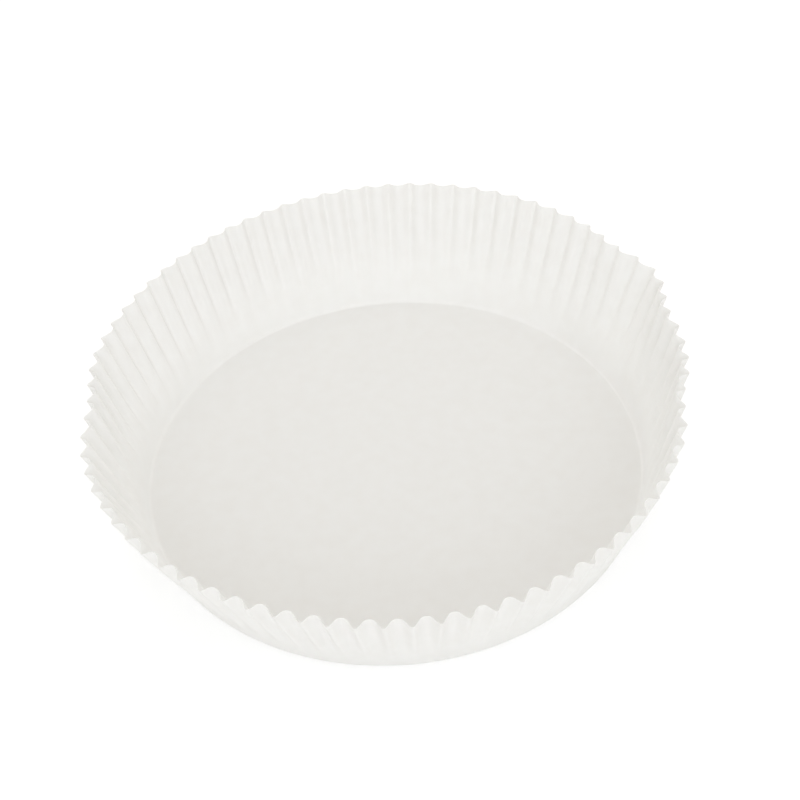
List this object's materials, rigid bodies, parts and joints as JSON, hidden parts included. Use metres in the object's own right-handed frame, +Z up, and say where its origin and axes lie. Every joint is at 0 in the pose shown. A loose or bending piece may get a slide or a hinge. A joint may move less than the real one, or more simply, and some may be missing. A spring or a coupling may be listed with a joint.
{
  "type": "air fryer paper liner",
  "caption": "Round disposable paper bowl with a flat floor and a fluted wall that leans outwards. It lies in an air fryer's basket and keeps fat and crumbs off it.",
  "frame": {"origin": "centre of the floor's underside, where the liner rests", "axes": "+Z up, out of the open top; X and Y in the plane of the floor, with the dents in the rim towards +X and +Y; the picture looks along +Y and down"},
  "size_m": [0.1972, 0.2073, 0.0457],
  "materials": {
    "greaseproof_paper": "bleached greaseproof paper with a thin silicone coating: smooth, soft sheen, lets some light through"
  },
  "bodies": {
    "root": {"paper_liner": "greaseproof_paper"}
  },
  "joints": []
}
